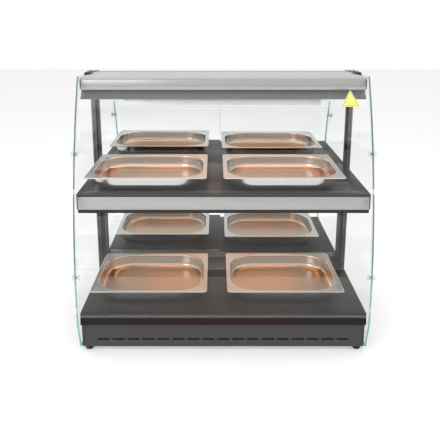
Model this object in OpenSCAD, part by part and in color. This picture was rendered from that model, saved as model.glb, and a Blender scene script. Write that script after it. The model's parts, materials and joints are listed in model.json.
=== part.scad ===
// Two-tier heated self-service display case for gastronorm pans.
// X runs along the front, -Y is the customer side, +Y the staff side, Z is up.

/* [Case] */
// Width of the base, shelf and roof, between the side glasses
case_w = 768; // [740:2:860]
// Height of the roof's front edge above the counter
roof_z = 732; // [726:1:740]
// Height of the heated deck's surface
deck_z = 117; // [112:1:120]
// Height of the middle shelf's surface
shelf_z = 440; // [430:1:445]
// Height of the rubber feet
foot_h = 13; // [10:1:16]

/* [Base] */
// Y of the base's front wall
base_front_y = -184; // [-186:1:-178]
// Y of the base's rear wall
base_rear_y = 206; // [206:1:210]
// Thickness of the base's sheet steel
sheet_t = 1.5; // [1:0.1:2]
// Number of air slots in the base's front
slot_count = 17; // [9:1:17]
// Distance between the centres of two air slots
slot_pitch = 40.7; // [38:0.1:42]

/* [Glass] */
// Thickness of the side glasses
glass_t = 5; // [4:0.5:5]
// Radius of the side glasses' curved front edge
front_r = 1258; // [1250:1:1266]
// Thickness of the curved front panes and of the flaps
pane_t = 4; // [3:0.5:4]
// Furthest that a flap opens, in degrees
flap_open = 70; // [50:5:70]

/* [Pans] */
// Length of a pan over its rim
pan_l = 325; // [320:1:325]
// Width of a pan over its rim
pan_w = 265; // [260:1:265]
// Depth of a pan
pan_d = 40; // [20:5:65]

/* [Rear doors] */
// Width of a mirrored sliding door
door_w = 386; // [384:1:392]
// Thickness of a mirrored sliding door
door_t = 4; // [3.5:0.5:4]

/* [Hidden] */
$fn = 48;
far = 3000;

half_w = case_w / 2;
inner_w = half_w - 0.5;
base_top = deck_z - 4;
// Centre of the side glasses' front curve, and the round facets of that large curve
curve_y = 1045;
curve_z = 129.5;
curve_fn = 360;

// Customer side: the flaps and panes as angles along the front curve
lower_flap_a = [-0.34, 4.65];
upper_flap_a = [14.11, 19.66];
lower_pane_a = [5.5, 11.9];
upper_pane_a = [20.51, 27.6];
flap_gap = 2;
flap_r0 = front_r + flap_gap;
flap_r1 = flap_r0 + pane_t;
lip = 6;
ear_x = half_w + glass_t + 3;
ear_t = 4;
flap_half_w = 405;
pivot_back = 14;
pivot_down = 0.37;
pin_r = 4;
pin_bore_r = 4.08;
pane_r0 = front_r - 4 - pane_t;
pane_r1 = front_r - 4;

// Staff side
post_y0 = 160;
post_in = half_w - 3.5;
post_out = 400.5;
flange_out = 411;
door_gap = 11;
upper_door_y = post_y0 + 4;
lower_door_y = post_y0 + 26;
groove = door_t + 0.6;
door_in = post_in - 1;
rail_half = post_in - 0.1;
top_rail_z = [698, 724];
middle_rail_z = [392, shelf_z];
bottom_rail_z = [base_top, deck_z + 4];
upper_door_z = [shelf_z - 4.5, 706];
lower_door_z = [deck_z - 0.5, 398];

// Shelf, roof and lamps
shelf_front_y = -160;
shelf_under = 386;
profile_z = [398, shelf_z - 7];
roof_front_y = -52;
roof_rear_y = 159;
roof_fall = 5;
ceiling_z = 699;
band_z = [ceiling_z, roof_z - 6];
lamp_y = 50;
lamp_main = 548;
lamp_over = 640;
hoop_pitch = 128.7;
upper_drop = 51;
lower_drop = 37;
reflector_t = 1;
reflector_top_hw = 26;
reflector_low_hw = 40;

// Pans: centres of the four pans, and the height they stand at
pan_clear = 0.3;
left_pan_x = -205.5;
lower_right_pan_x = 172.5;
upper_right_pan_x = 161.5;
lower_pan_y = -15;
upper_pan_y = -11;
rim_t = 1;
rim_w = 12;

// Controls on the rear wall
panel_x = [80, 340];
panel_z = [22, 98];
control_z = 60;
knob_x = 130;
rocker_x = [195, 245];
inlet_x = 303;
rocker_tilt = 7;
rocker_w = 13;

function on_curve(a, r) = [curve_y - r * cos(a), curve_z + r * sin(a)];

// A flat outline in Y and Z, made solid along X
module along_x(x0, x1) {
    translate([x0, 0, 0]) rotate([90, 0, 90]) linear_extrude(x1 - x0) children();
}

module box(lo, hi) {
    translate(lo) cube(hi - lo);
}

module rod_x(x0, x1, y, z, r) {
    translate([x0, y, z]) rotate([0, 90, 0]) cylinder(h = x1 - x0, r = r);
}

module rod_y(y0, y1, x, z, r) {
    translate([x, y0, z]) rotate([-90, 0, 0]) cylinder(h = y1 - y0, r = r);
}

module both_sides() {
    children();
    mirror([1, 0, 0]) children();
}

// A sheet curved about the front curve's centre, between two radii and two angles
module curved_sheet(x0, x1, r0, r1, a) {
    intersection() {
        difference() {
            rod_x_fine(x0, x1, r1);
            rod_x_fine(x0 - 1, x1 + 1, r0);
        }
        along_x(x0, x1) polygon([[curve_y, curve_z], on_curve(a[0], 2 * front_r), on_curve(a[1], 2 * front_r)]);
    }
}

module rod_x_fine(x0, x1, r) {
    translate([x0, curve_y, curve_z]) rotate([0, 90, 0]) cylinder(h = x1 - x0, r = r, $fn = curve_fn);
}

module rounded_outline(l, w, r) {
    square([l - 2 * r, w], center = true);
    square([l, w - 2 * r], center = true);
    for (sx = [-1, 1], sy = [-1, 1])
        translate([sx * (l / 2 - r), sy * (w / 2 - r)]) circle(r);
}

// ---- Base ----

module rubber_feet() {
    foot_r = 11;
    color([0.08, 0.08, 0.08])
    for (x = [-368, 368], y = [-168, 188]) translate([x, y, 0]) {
        cylinder(h = 3, r1 = foot_r - 1.5, r2 = foot_r);
        translate([0, 0, 3]) cylinder(h = foot_h - 3, r = foot_r);
    }
}

module base_housing() {
    slot_l = 34;
    slot_r = 2.25;
    slot_z = foot_h + 22;
    color([0.20, 0.20, 0.21])
    difference() {
        box([-inner_w, base_front_y, foot_h], [inner_w, base_rear_y, base_top]);
        box([-inner_w + sheet_t, base_front_y + sheet_t, foot_h - 1],
            [inner_w - sheet_t, base_rear_y - sheet_t, base_top + 1]);
        for (i = [0 : slot_count - 1]) translate([(i - (slot_count - 1) / 2) * slot_pitch, 0, slot_z]) {
            box([-slot_l / 2 + slot_r, base_front_y - 1, -slot_r],
                [slot_l / 2 - slot_r, base_front_y + 5, slot_r]);
            for (s = [-1, 1]) rod_y(base_front_y - 1, base_front_y + 5, s * (slot_l / 2 - slot_r), 0, slot_r);
        }
        for (x = [-half_w - 1, half_w - 6], y = bolt_ys) rod_x(x, x + 7, y, bolt_z, bolt_r);
        box([panel_x[0] + 8, base_rear_y - 5, panel_z[0] + 8], [panel_x[1] - 8, base_rear_y + 1, panel_z[1] - 8]);
    }
}

module bottom_plate() {
    vent_l = 40;
    clear = 0.2;
    color([0.45, 0.45, 0.46])
    difference() {
        box([-inner_w + sheet_t + clear, base_front_y + sheet_t + clear, foot_h],
            [inner_w - sheet_t - clear, base_rear_y - sheet_t - clear, foot_h + sheet_t]);
        for (row = [-100, 100], i = [-6 : 6])
            translate([i * 50, row, foot_h - 1]) linear_extrude(4) square([5, vent_l], center = true);
    }
}

// Tray that closes the base, with a front lip that leans back
module deck_plate() {
    lip_low = 85;
    rear_y = 166;
    lean = 5;
    front_y = -198;
    color([0.26, 0.25, 0.25])
    union() {
        along_x(-inner_w, inner_w) polygon([
            [front_y, lip_low], [front_y + lean - 0.5, deck_z - 2], [front_y + lean + 1.2, deck_z - 0.4],
            [front_y + lean + 3, deck_z], [rear_y, deck_z], [rear_y, deck_z - sheet_t],
            [front_y + lean + 3, deck_z - sheet_t], [front_y + lean + 1.2, deck_z - 2.4],
            [front_y + sheet_t + 0.9, lip_low + 3], [base_front_y, lip_low + 2.5], [base_front_y, lip_low]
        ]);
        both_sides() box([inner_w - sheet_t, base_front_y + 2, base_top], [inner_w, rear_y, deck_z - sheet_t]);
    }
}

module deck_heater() {
    color([0.72, 0.36, 0.20])
    box([-350, -150, deck_z - sheet_t - 2], [350, 130, deck_z - sheet_t]);
}

module insulation_board() {
    color([0.86, 0.84, 0.78])
    box([-370, -165, deck_z - sheet_t - 14], [370, 150, deck_z - sheet_t - 2.2]);
}

// ---- Side glasses ----

bolt_ys = [-120, 110];
bolt_z = 55;
bolt_r = 3;

glass_front_y = -57;
glass_rear_y = post_y0 + 12;
glass_fall = 5;

// Height of the side glasses' sloping top edge
function glass_top(y) = roof_z + 3 - glass_fall * (y - glass_front_y) / (glass_rear_y - glass_front_y);

module side_glass_plate() {
    bottom_z = 17;
    bulge = [-260, 267.3];
    difference() {
        intersection() {
            along_x(half_w, half_w + glass_t) polygon([
                [-191, bottom_z], [glass_rear_y, bottom_z], [glass_rear_y, glass_top(glass_rear_y)],
                [glass_front_y, glass_top(glass_front_y)], [bulge[0], glass_top(glass_front_y)], bulge
            ]);
            rod_x_fine(half_w - 1, half_w + glass_t + 1, front_r);
        }
        for (y = bolt_ys) rod_x(half_w - 1, half_w + glass_t + 1, y, bolt_z, bolt_r);
        for (a = [lower_flap_a[1], upper_flap_a[1]]) flap_axis(a) cylinder(h = far, r = pin_r, center = true);
    }
}

module left_side_glass() {
    color([0.80, 0.92, 0.88, 0.3]) mirror([1, 0, 0]) side_glass_plate();
}

module right_side_glass() {
    color([0.80, 0.92, 0.88, 0.3]) side_glass_plate();
}

module glass_bolts() {
    color([0.62, 0.62, 0.62])
    both_sides() for (y = bolt_ys) {
        rod_x(half_w - 12, half_w + glass_t, y, bolt_z, bolt_r);
        rod_x(half_w + glass_t, half_w + glass_t + 3, y, bolt_z, 8);
    }
}

// Dark clips that hold the roof's sides to the top edge of each glass
module glass_top_clips() {
    clip_y = [45, 95];
    color([0.12, 0.12, 0.12])
    both_sides() difference() {
        box([half_w - 8, clip_y[0], roof_z - 12], [half_w + glass_t + 3, clip_y[1], roof_z + 3]);
        box([half_w - 9, clip_y[0] - 1, roof_z - 13], [half_w, clip_y[1] + 1, roof_z]);
        along_x(half_w - 1, half_w + glass_t) polygon([
            [clip_y[0] - 1, roof_z - 13], [clip_y[1] + 1, roof_z - 13],
            [clip_y[1] + 1, glass_top(clip_y[1] + 1) + 0.05], [clip_y[0] - 1, glass_top(clip_y[0] - 1) + 0.05]
        ]);
    }
}

// ---- Middle shelf ----

module shelf_plate() {
    hole_x = 349;
    hole_y0 = -126;
    hole_pitch = 13.5;
    color([0.24, 0.23, 0.23])
    difference() {
        union() {
            box([-inner_w, shelf_front_y, shelf_z - sheet_t], [inner_w, post_y0 - 2, shelf_z]);
            box([-inner_w, shelf_front_y, profile_z[1]], [inner_w, shelf_front_y + sheet_t, shelf_z]);
        }
        both_sides() for (i = [0 : 6])
            translate([hole_x, hole_y0 + i * hole_pitch, shelf_z - 5]) cylinder(h = 10, r = 2.4);
    }
}

// Black box that closes the shelf from below and carries the lower lamp
module shelf_housing() {
    front_y = shelf_front_y + 8;
    wall = 1.2;
    color([0.07, 0.07, 0.07])
    difference() {
        box([-inner_w, front_y, shelf_under], [inner_w, post_y0 - 2, shelf_z - sheet_t]);
        box([-inner_w + wall, front_y + wall, shelf_under + wall],
            [inner_w - wall, post_y0 - 2 - wall, shelf_z + 1]);
    }
}

module front_channel(y0, depth, z, wall) {
    difference() {
        box([-half_w + 3, y0, z[0]], [half_w - 3, y0 + depth, z[1]]);
        box([-half_w, y0 + wall, z[0] + wall], [half_w, y0 + depth + 1, z[1] - wall]);
    }
}

// Flat cap with its lower outer corner cut off
module channel_cap(y0, depth, z, corner) {
    both_sides() translate([0, y0, 0]) rotate([90, 0, 0]) mirror([0, 0, 1]) linear_extrude(depth) polygon([
        [half_w - 3, z[0]], [half_w - 0.2 - corner, z[0]], [half_w - 0.2, z[0] + corner],
        [half_w - 0.2, z[1]], [half_w - 3, z[1]]
    ]);
}

module shelf_front_profile() {
    color([0.78, 0.78, 0.77]) front_channel(shelf_front_y, 7.9, profile_z, 2);
}

module shelf_end_caps() {
    color([0.15, 0.15, 0.15]) channel_cap(shelf_front_y, 7.9, profile_z, 2);
}

// ---- Roof ----

module roof_panel() {
    edge = 6;
    color([0.72, 0.72, 0.72])
    along_x(-inner_w, inner_w) polygon([
        [roof_front_y, roof_z - edge], [roof_front_y, roof_z], [roof_rear_y, roof_z - roof_fall],
        [roof_rear_y, roof_z - roof_fall - edge], [roof_rear_y - sheet_t, roof_z - roof_fall - edge],
        [roof_rear_y - sheet_t, roof_z - roof_fall - sheet_t], [roof_front_y + sheet_t, roof_z - sheet_t],
        [roof_front_y + sheet_t, roof_z - edge]
    ]);
}

module roof_housing() {
    wall = 1.2;
    front_y = roof_front_y + 17;
    color([0.72, 0.72, 0.72])
    difference() {
        box([-inner_w, front_y, ceiling_z], [inner_w, roof_rear_y - 2, roof_z - roof_fall - 3]);
        box([-inner_w + wall, front_y + wall, ceiling_z + wall],
            [inner_w - wall, roof_rear_y - 2 - wall, roof_z]);
    }
}

module roof_front_profile() {
    color([0.82, 0.82, 0.81]) front_channel(roof_front_y, 16, band_z, 2);
}

module roof_end_caps() {
    color([0.15, 0.15, 0.15]) channel_cap(roof_front_y, 16, band_z, 1);
}

// Dark strip under the roof band, its lower edge set forward
module roof_fascia() {
    color([0.38, 0.38, 0.38])
    translate([0, roof_front_y, ceiling_z - 0.2]) along_x(-inner_w, inner_w) polygon([
        [15, 0], [-4, -25], [8, -25], [8, -23.5], [-1.3, -23.5], [16.5, -1.3], [34, -1.3], [34, 0]
    ]);
}

module roof_screws() {
    color([0.35, 0.35, 0.35])
    for (x = [-290, -58, 58, 290])
        translate([x, roof_rear_y - 8, roof_z - roof_fall + 0.3]) cylinder(h = 2.2, r = 3.5);
}

// ---- Heat lamps ----

// Folded channel, open below, with closed ends
module reflector(top, drop) {
    wall = reflector_t;
    top_hw = reflector_top_hw;
    low_hw = reflector_low_hw;
    end_hw = 22;
    low = top - drop;
    difference() {
        union() {
            along_x(-lamp_main / 2, lamp_main / 2) polygon([
                [lamp_y - low_hw, low], [lamp_y - top_hw, top], [lamp_y + top_hw, top], [lamp_y + low_hw, low]
            ]);
            both_sides() box([lamp_main / 2, lamp_y - end_hw, low + 8], [lamp_over / 2, lamp_y + end_hw, top]);
        }
        along_x(-lamp_main / 2 + wall, lamp_main / 2 - wall) polygon([
            [lamp_y - low_hw + wall, low - 1], [lamp_y - top_hw + wall, top - wall],
            [lamp_y + top_hw - wall, top - wall], [lamp_y + low_hw - wall, low - 1]
        ]);
        both_sides() box([lamp_main / 2 + wall, lamp_y - end_hw + wall, low + 8 + wall],
            [lamp_over / 2 - wall, lamp_y + end_hw - wall, top + 1]);
    }
}

lamp_half = lamp_main / 2 - 22;
tube_r = 5;

module lamp_tube(top, drop) {
    rod_x(-lamp_half, lamp_half, lamp_y, top - drop + 17, tube_r);
}

module lamp_holder_pair(top, drop) {
    z = top - drop + 17;
    both_sides() difference() {
        box([lamp_half - 9, lamp_y - 10, z - 9], [lamp_half + 12, lamp_y + 10, z + 12]);
        rod_x(lamp_half - 10, lamp_half, lamp_y, z, tube_r);
    }
}

// Bent hoops that end on the reflector's inner faces, under two long rods
module lamp_guard(top, drop) {
    wire = 1.5;
    below = wire + 1;
    hoop_h = 9;
    z = top - drop - below;
    wall_in = (reflector_low_hw - reflector_top_hw) * (hoop_h - below) / drop;
    reach = reflector_low_hw - reflector_t - wall_in - wire - 0.05;
    for (i = [-2 : 2]) {
        rod_y(lamp_y - reach, lamp_y + reach, i * hoop_pitch, z, wire);
        for (s = [-1, 1]) translate([i * hoop_pitch, lamp_y + s * reach, z]) {
            sphere(r = wire, $fn = 24);
            cylinder(h = hoop_h, r = wire);
        }
    }
    for (s = [-1, 1]) rod_x(-lamp_half, lamp_half, lamp_y + s * 16, z + 2 * wire + 0.05, wire);
}

module upper_reflector() { color([0.62, 0.62, 0.61]) reflector(ceiling_z, upper_drop); }
module lower_reflector() { color([0.62, 0.62, 0.61]) reflector(shelf_under, lower_drop); }
module upper_lamp_tube() { color([0.95, 0.65, 0.35, 0.6]) lamp_tube(ceiling_z, upper_drop); }
module lower_lamp_tube() { color([0.95, 0.65, 0.35, 0.6]) lamp_tube(shelf_under, lower_drop); }
module upper_lamp_guard() { color([0.75, 0.75, 0.75]) lamp_guard(ceiling_z, upper_drop); }
module lower_lamp_guard() { color([0.75, 0.75, 0.75]) lamp_guard(shelf_under, lower_drop); }
module lamp_holders() {
    color([0.93, 0.92, 0.88]) {
        lamp_holder_pair(ceiling_z, upper_drop);
        lamp_holder_pair(shelf_under, lower_drop);
    }
}

// ---- Curved front panes and flaps ----

module upper_front_glass() {
    color([0.80, 0.92, 0.90, 0.3]) curved_sheet(-inner_w, inner_w, pane_r0, pane_r1, upper_pane_a);
}

module lower_front_glass() {
    color([0.80, 0.92, 0.90, 0.3]) curved_sheet(-inner_w, inner_w, pane_r0, pane_r1, lower_pane_a);
}

// Clear blocks behind the ends of each pane
module pane_clips() {
    color([0.85, 0.88, 0.88, 0.6])
    both_sides() for (a = [lower_pane_a, upper_pane_a], at = [a[0] + 0.5, a[1] - 1.1])
        curved_sheet(half_w - 12, half_w, pane_r0 - 10, pane_r0, [at, at + 0.6]);
}

// Plain warning triangle on the outside of the upper pane
module hot_surface_label() {
    side = 49;
    at = 26;
    p = on_curve(at, pane_r1);
    color([0.93, 0.90, 0.45])
    translate([334.5, p[0], p[1]]) rotate([90 - at, 0, 0]) translate([0, 0, 0.02]) linear_extrude(0.5)
        polygon([[-side / 2, -side * 0.45], [side / 2, -side * 0.45], [1.5, side * 0.45], [-1.5, side * 0.45]]);
}

module flap_axis(a) {
    p = on_curve(a - pivot_down, front_r - pivot_back);
    translate([0, p[0], p[1]]) rotate([0, 90, 0]) children();
}

// Clear flap: a curved front with a pull lip, and an ear at each end on the pivot. The top edge is
// notched over each side glass, so that it turns inwards past the glass as the flap opens.
module flap(a) {
    pivot = on_curve(a[1] - pivot_down, front_r - pivot_back);
    notch_x = [half_w - 1.5, ear_x - 0.5];
    notch_a = [a[1] - 1, a[1] + 0.3];
    difference() {
        union() {
            curved_sheet(-flap_half_w, flap_half_w, flap_r0, flap_r1, a);
            curved_sheet(-flap_half_w, flap_half_w, flap_r1 - 0.5, flap_r1 + lip, [a[0], a[0] + 0.18]);
            both_sides() {
                along_x(ear_x, ear_x + ear_t) polygon([
                    on_curve(a[1] - 2.6, flap_r0 + 0.5), on_curve(a[1], flap_r0 + 0.5),
                    pivot + [6, 10.4], pivot + [12, 0], pivot + [6, -10.4]
                ]);
                translate([ear_x, pivot[0], pivot[1]]) rotate([0, 90, 0]) cylinder(h = ear_t, r = 12);
            }
        }
        both_sides() curved_sheet(notch_x[0], notch_x[1], flap_r0 - 1, flap_r1 + 1, notch_a);
        flap_axis(a[1]) cylinder(h = far, r = pin_bore_r, center = true);
    }
}

module upper_flap() { color([0.85, 0.90, 0.95, 0.3]) flap(upper_flap_a); }
module lower_flap() { color([0.85, 0.90, 0.95, 0.3]) flap(lower_flap_a); }

// Shouldered pins through the side glasses, with a spacer, a head and a nut
module flap_pivot_pins() {
    x0 = half_w - 5;
    head_x = ear_x + ear_t + 0.4;
    color([0.70, 0.70, 0.70])
    both_sides() for (a = [lower_flap_a[1], upper_flap_a[1]]) flap_axis(a) {
        translate([0, 0, x0]) cylinder(h = head_x - x0, r = pin_r);
        translate([0, 0, x0]) cylinder(h = half_w - x0, r = 7);
        translate([0, 0, half_w + glass_t]) cylinder(h = ear_x - 0.3 - half_w - glass_t, r = 8);
        translate([0, 0, head_x]) cylinder(h = 2.4, r = 7);
    }
}

module flap_stop_pads() {
    color([0.80, 0.80, 0.80])
    both_sides() for (a = [lower_flap_a, upper_flap_a])
        curved_sheet(half_w + 0.5, half_w + glass_t - 0.5, front_r, front_r + flap_gap - 0.3, [a[0] + 0.4, a[0] + 1]);
}

// ---- Rear frame and doors ----

module rear_post() {
    post_top = roof_z - 5.5;
    difference() {
        union() {
            box([post_in, post_y0, foot_h], [post_out, base_rear_y, post_top]);
            box([post_out, base_rear_y - 6, foot_h], [flange_out, base_rear_y - 3, post_top]);
        }
        box([half_w, post_y0 - 1, foot_h - 1], [half_w + glass_t, post_y0 + 12, post_top + 1]);
        box([post_in - 1, post_y0 - 1, foot_h - 1], [half_w, base_rear_y + 1, deck_z + 0.2]);
        box([post_out - 8, post_y0 - 1, foot_h - 1], [post_out - 4, post_y0 + 3, post_top + 1]);
    }
}

module left_rear_post() { color([0.33, 0.33, 0.34]) mirror([1, 0, 0]) rear_post(); }
module right_rear_post() { color([0.33, 0.33, 0.34]) rear_post(); }

// Two door grooves along the whole rail, cut from z0 to z1
module grooves(y, z0, z1) {
    for (dy = [0, door_gap])
        box([-half_w, y + dy - 0.3, z0], [half_w, y + dy - 0.3 + groove, z1]);
}

module rear_top_rail() {
    color([0.33, 0.33, 0.34])
    difference() {
        box([-rail_half, post_y0, top_rail_z[0]], [rail_half, base_rear_y, top_rail_z[1]]);
        grooves(upper_door_y, top_rail_z[0] - 1, upper_door_z[1] + 5);
    }
}

module rear_middle_rail() {
    color([0.33, 0.33, 0.34])
    difference() {
        box([-rail_half, post_y0, middle_rail_z[0]], [rail_half, base_rear_y, middle_rail_z[1]]);
        grooves(upper_door_y, upper_door_z[0] - 0.5, middle_rail_z[1] + 1);
        grooves(lower_door_y, middle_rail_z[0] - 1, lower_door_z[1] + 5);
    }
}

module rear_bottom_rail() {
    color([0.33, 0.33, 0.34])
    difference() {
        box([-rail_half, 166.2, bottom_rail_z[0]], [rail_half, base_rear_y, bottom_rail_z[1]]);
        grooves(lower_door_y, lower_door_z[0] - 0.5, bottom_rail_z[1] + 1);
    }
}

// side is -1 for a left door in the rear track, 1 for a right door in the front track
function door_x0(side) = side < 0 ? -door_in : door_in - door_w;
function door_y(y, side) = side < 0 ? y + door_gap : y;

module door(side, y, z) {
    box([door_x0(side), door_y(y, side), z[0]], [door_x0(side) + door_w, door_y(y, side) + door_t, z[1]]);
}

// Oblong finger pull with a shallow recess, on a door's staff side
module door_pull(side, y, z) {
    w = 26;
    h = 90;
    t = 3.2;
    x = side * (door_in - 32);
    y0 = door_y(y, side) + door_t;
    translate([x, y0, (z[0] + z[1]) / 2]) rotate([-90, 0, 0]) difference() {
        linear_extrude(t) rounded_outline(w, h, 12);
        translate([0, 0, 1]) linear_extrude(t) rounded_outline(w - 6, h - 6, 9);
    }
}

module upper_left_door() { color([0.80, 0.82, 0.83]) door(-1, upper_door_y, upper_door_z); }
module upper_right_door() { color([0.80, 0.82, 0.83]) door(1, upper_door_y, upper_door_z); }
module lower_left_door() { color([0.80, 0.82, 0.83]) door(-1, lower_door_y, lower_door_z); }
module lower_right_door() { color([0.80, 0.82, 0.83]) door(1, lower_door_y, lower_door_z); }
module upper_left_pull() { color([0.10, 0.10, 0.10]) door_pull(-1, upper_door_y, upper_door_z); }
module upper_right_pull() { color([0.10, 0.10, 0.10]) door_pull(1, upper_door_y, upper_door_z); }
module lower_left_pull() { color([0.10, 0.10, 0.10]) door_pull(-1, lower_door_y, lower_door_z); }
module lower_right_pull() { color([0.10, 0.10, 0.10]) door_pull(1, lower_door_y, lower_door_z); }

// ---- Pans ----

// Pressed pan: a flat rim on a straight-sided bowl
module pan(x, y, z) {
    bowl_l = pan_l - 2 * rim_w;
    bowl_w = pan_w - 2 * rim_w;
    translate([x, y, z + pan_clear]) difference() {
        union() {
            translate([0, 0, pan_d - rim_t]) linear_extrude(rim_t) rounded_outline(pan_l, pan_w, 18);
            linear_extrude(pan_d) rounded_outline(bowl_l, bowl_w, 40);
        }
        translate([0, 0, rim_t]) linear_extrude(pan_d) rounded_outline(bowl_l - 2 * rim_t, bowl_w - 2 * rim_t, 39);
    }
}

module upper_left_pan() { color([0.80, 0.79, 0.77]) pan(left_pan_x, upper_pan_y, shelf_z); }
module upper_right_pan() { color([0.80, 0.79, 0.77]) pan(upper_right_pan_x, upper_pan_y, shelf_z); }
module lower_left_pan() { color([0.80, 0.79, 0.77]) pan(left_pan_x, lower_pan_y, deck_z); }
module lower_right_pan() { color([0.80, 0.79, 0.77]) pan(lower_right_pan_x, lower_pan_y, deck_z); }

// ---- Controls ----

panel_y1 = base_rear_y + sheet_t;
inlet_size = [27, 20];
frame_size = [16, 28];

module control_panel() {
    color([0.16, 0.16, 0.16])
    difference() {
        box([panel_x[0], base_rear_y, panel_z[0]], [panel_x[1], panel_y1, panel_z[1]]);
        rod_y(base_rear_y - 1, panel_y1 + 1, knob_x, control_z, 3.5);
        for (x = rocker_x) box([x - frame_size[0] / 2, base_rear_y - 1, control_z - frame_size[1] / 2],
            [x + frame_size[0] / 2, panel_y1 + 1, control_z + frame_size[1] / 2]);
        box([inlet_x - inlet_size[0] / 2, base_rear_y - 1, control_z - inlet_size[1] / 2],
            [inlet_x + inlet_size[0] / 2, panel_y1 + 1, control_z + inlet_size[1] / 2]);
    }
}

module thermostat_knob() {
    knob_y0 = panel_y1 + 0.5;
    knob_y1 = 225;
    color([0.09, 0.09, 0.09])
    difference() {
        union() {
            rod_y(knob_y0, knob_y0 + 4, knob_x, control_z, 19);
            rod_y(knob_y0 + 4, knob_y1, knob_x, control_z, 15);
            box([knob_x - 1.2, knob_y0 + 4, control_z + 14], [knob_x + 1.2, knob_y1 - 1, control_z + 17.5]);
        }
        rod_y(knob_y0 - 1, knob_y0 + 11, knob_x, control_z, 3.05);
    }
}

module thermostat_body() {
    color([0.55, 0.52, 0.45]) {
        box([knob_x - 20, base_rear_y - 28, control_z - 20], [knob_x + 20, base_rear_y, control_z + 20]);
        rod_y(base_rear_y, panel_y1 + 10, knob_x, control_z, 3);
    }
}

module switch_frames() {
    wall = 1.2;
    color([0.12, 0.12, 0.12])
    for (x = rocker_x) translate([x, 0, control_z]) difference() {
        union() {
            box([-frame_size[0] / 2, base_rear_y - 18, -frame_size[1] / 2],
                [frame_size[0] / 2, panel_y1 + 0.1, frame_size[1] / 2]);
            box([-frame_size[0] / 2 - 2, panel_y1, -frame_size[1] / 2 - 2],
                [frame_size[0] / 2 + 2, panel_y1 + 2, frame_size[1] / 2 + 2]);
        }
        box([-frame_size[0] / 2 + wall, base_rear_y - 12, -frame_size[1] / 2 + wall],
            [frame_size[0] / 2 - wall, panel_y1 + 3, frame_size[1] / 2 - wall]);
    }
}

// Paddle that rocks about a line along X, shown in its off position
module rocker(x) {
    pivot_out = 0.2;
    translate([x, panel_y1, control_z]) {
        rotate([rocker_tilt, 0, 0]) along_x(-rocker_w / 2, rocker_w / 2) polygon([
            [-5, -8], [2.6, -12], [4.2, -12], [2.4, 0], [4.2, 12], [2.6, 12], [-5, 8]
        ]);
        rotate([0, 90, 0]) cylinder(h = rocker_w + 2 * pivot_out, r = 1.5, center = true);
    }
}

module power_rocker() { color([0.75, 0.12, 0.10]) rocker(rocker_x[1]); }
module lamp_rocker() { color([0.10, 0.35, 0.15]) rocker(rocker_x[0]); }

// Appliance inlet with a recess and three flat pins
module power_inlet() {
    recess = [24, 17];
    depth = 16;
    color([0.06, 0.06, 0.06])
    translate([inlet_x, 0, control_z]) {
        difference() {
            union() {
                box([-inlet_size[0] / 2, base_rear_y - 22, -inlet_size[1] / 2],
                    [inlet_size[0] / 2, panel_y1 + 0.1, inlet_size[1] / 2]);
                box([-25, panel_y1, -14], [25, panel_y1 + 2.5, 14]);
            }
            box([-recess[0] / 2, panel_y1 + 2.5 - depth, -recess[1] / 2],
                [recess[0] / 2, panel_y1 + 5, recess[1] / 2]);
        }
        for (p = [[-7, -2], [0, 2], [7, -2]])
            box([p[0] - 1, panel_y1 + 2 - depth, p[1] - 2], [p[0] + 1, panel_y1 + 12 - depth, p[1] + 2]);
    }
}

module terminal_block() {
    color([0.90, 0.90, 0.86])
    for (i = [0 : 4]) translate([20 + i * 13, 120, foot_h + sheet_t]) difference() {
        cube([12, 24, 18]);
        translate([6, 6, 4]) cylinder(h = 20, r = 2.5);
        translate([6, 18, 4]) cylinder(h = 20, r = 2.5);
    }
}

rubber_feet();
base_housing();
bottom_plate();
deck_plate();
deck_heater();
insulation_board();
left_side_glass();
right_side_glass();
glass_bolts();
glass_top_clips();
shelf_plate();
shelf_housing();
shelf_front_profile();
shelf_end_caps();
roof_panel();
roof_housing();
roof_front_profile();
roof_end_caps();
roof_fascia();
roof_screws();
upper_reflector();
upper_lamp_tube();
upper_lamp_guard();
lower_reflector();
lower_lamp_tube();
lower_lamp_guard();
lamp_holders();
upper_front_glass();
lower_front_glass();
pane_clips();
hot_surface_label();
upper_flap();
lower_flap();
flap_pivot_pins();
flap_stop_pads();
left_rear_post();
right_rear_post();
rear_top_rail();
rear_middle_rail();
rear_bottom_rail();
upper_left_door();
upper_right_door();
lower_left_door();
lower_right_door();
upper_left_pull();
upper_right_pull();
lower_left_pull();
lower_right_pull();
upper_left_pan();
upper_right_pan();
lower_left_pan();
lower_right_pan();
control_panel();
thermostat_knob();
thermostat_body();
power_rocker();
lamp_rocker();
switch_frames();
power_inlet();
terminal_block();
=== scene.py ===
"""Dresses the two-tier heated display case, stands it in a pale studio and sets the camera."""
import json
import logging
import math
from dataclasses import dataclass, field
from enum import Enum
from typing import Callable, Iterable, Optional, Sequence, Union

import bpy
from mathutils import Matrix, Vector


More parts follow.
